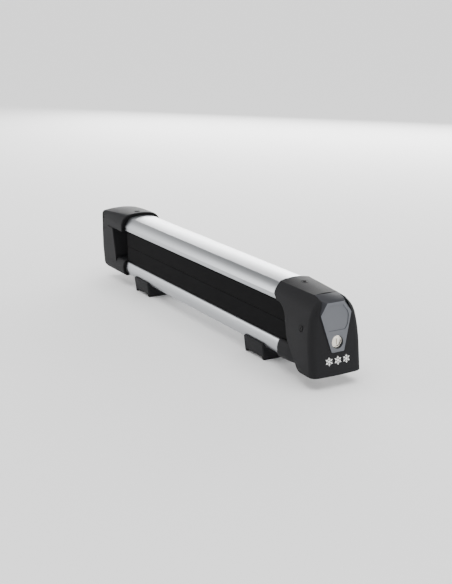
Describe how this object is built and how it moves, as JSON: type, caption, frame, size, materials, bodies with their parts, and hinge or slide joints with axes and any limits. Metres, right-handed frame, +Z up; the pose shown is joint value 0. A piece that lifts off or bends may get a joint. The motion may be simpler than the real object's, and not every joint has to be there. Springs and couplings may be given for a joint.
{
  "type": "roof ski rack",
  "caption": "Hinged roof rack that clamps skis or snowboards between two rubber-lined aluminium profiles, with a lockable push-button latch and raiser feet.",
  "frame": {"origin": "centre of the footprint, on the plane that the feet stand on", "axes": "+X along the profiles towards the lock, +Z up, hinge axis along Y"},
  "size_m": [0.6196, 0.0736, 0.116],
  "materials": {
    "anodised_aluminium": "satin anodised, fine extrusion lines",
    "lining_rubber": "matt",
    "black_nylon": "fine moulded grain",
    "gasket_rubber": "matt",
    "bush_plastic": "smooth",
    "dark_steel": "black oxide",
    "zinc_steel": "bright zinc",
    "spring_steel": "drawn wire",
    "lock_steel": "turned face",
    "grey_abs": "satin"
  },
  "bodies": {
    "base": {"lower_profile": "anodised_aluminium", "lower_rubber": "lining_rubber", "hinge_bracket": "black_nylon", "lower_gasket": "gasket_rubber", "hinge_bushes": "bush_plastic", "lock_nose": "black_nylon", "striker_plate": "zinc_steel", "striker_screws": "zinc_steel", "base_screws": "dark_steel", "foot_screws": "dark_steel", "slide_nuts": "zinc_steel", "foot_hinge_end": "black_nylon", "foot_lock_end": "black_nylon"},
    "arm": {"upper_profile": "anodised_aluminium", "upper_rubber": "lining_rubber", "hinge_cap": "black_nylon", "upper_gasket": "gasket_rubber", "hinge_pin": "dark_steel", "hinge_pin_clip": "dark_steel", "lock_housing": "black_nylon", "button_pin": "zinc_steel", "button_spring": "spring_steel", "latch_spring": "spring_steel", "side_pin": "zinc_steel", "side_pin_caps": "dark_steel", "top_screws": "dark_steel"},
    "button": {"push_button": "grey_abs", "lock_barrel": "lock_steel", "barrel_nut": "lock_steel"},
    "latch": {"latch_lever": "zinc_steel"},
    "key_plug": {"lock_plug": "lock_steel", "lock_cam": "zinc_steel", "cam_screw": "zinc_steel"}
  },
  "joints": [
    {"name": "arm_hinge", "type": "hinge", "parent": "base", "child": "arm", "pos_m": [-0.2998, 0, 0.1009], "axis": [0, -1, 0], "range_deg": [0, 85]},
    {"name": "button_press", "type": "hinge", "parent": "arm", "child": "button", "pos_m": [0.287, 0, 0.1], "axis": [0, 1, 0], "range_deg": [0, 5], "stiffness_Nm_per_rad": 0.6, "springref_deg": -2.86},
    {"name": "latch_turn", "type": "hinge", "parent": "arm", "child": "latch", "pos_m": [0.2798, 0, 0.0713], "axis": [0, 1, 0], "range_deg": [0, 12.5]},
    {"name": "key_turn", "type": "hinge", "parent": "button", "child": "key_plug", "pos_m": [0.29, 0, 0.0559], "axis": [1, 0, 0], "range_deg": [0, 90]}
  ],
  "couplings": [
    {"joint": "latch_turn", "follows": "button_press", "ratio": 2.4}
  ]
}
